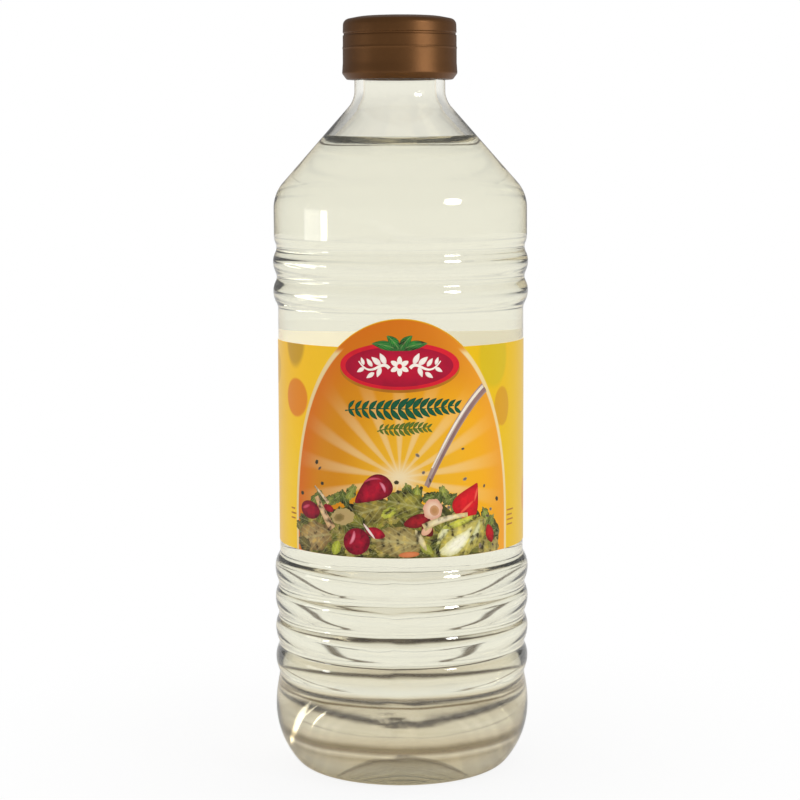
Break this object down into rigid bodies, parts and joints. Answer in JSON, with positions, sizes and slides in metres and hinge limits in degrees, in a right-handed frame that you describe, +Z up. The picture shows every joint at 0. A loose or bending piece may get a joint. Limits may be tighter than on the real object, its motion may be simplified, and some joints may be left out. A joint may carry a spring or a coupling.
{
  "type": "bottle of white vinegar",
  "caption": "Ribbed clear plastic bottle filled with white vinegar, with a wrap-around label and a brown screw cap.",
  "frame": {"origin": "centre of the round foot, on the surface the bottle stands on", "axes": "+Z up along the bottle's axis, the front of the label faces -Y, +X to the viewer's right"},
  "size_m": [0.0672, 0.0672, 0.1967],
  "materials": {
    "clear_plastic": "clear blow-moulded plastic, glossy",
    "vinegar": "clear liquid with a faint straw tint",
    "cap_plastic": "bronze-brown, satin with a metallic sheen",
    "label_film": "glossy printed film"
  },
  "bodies": {
    "root": {"bottle": "clear_plastic", "vinegar": "vinegar", "cap": "cap_plastic", "label": "label_film"}
  },
  "joints": []
}
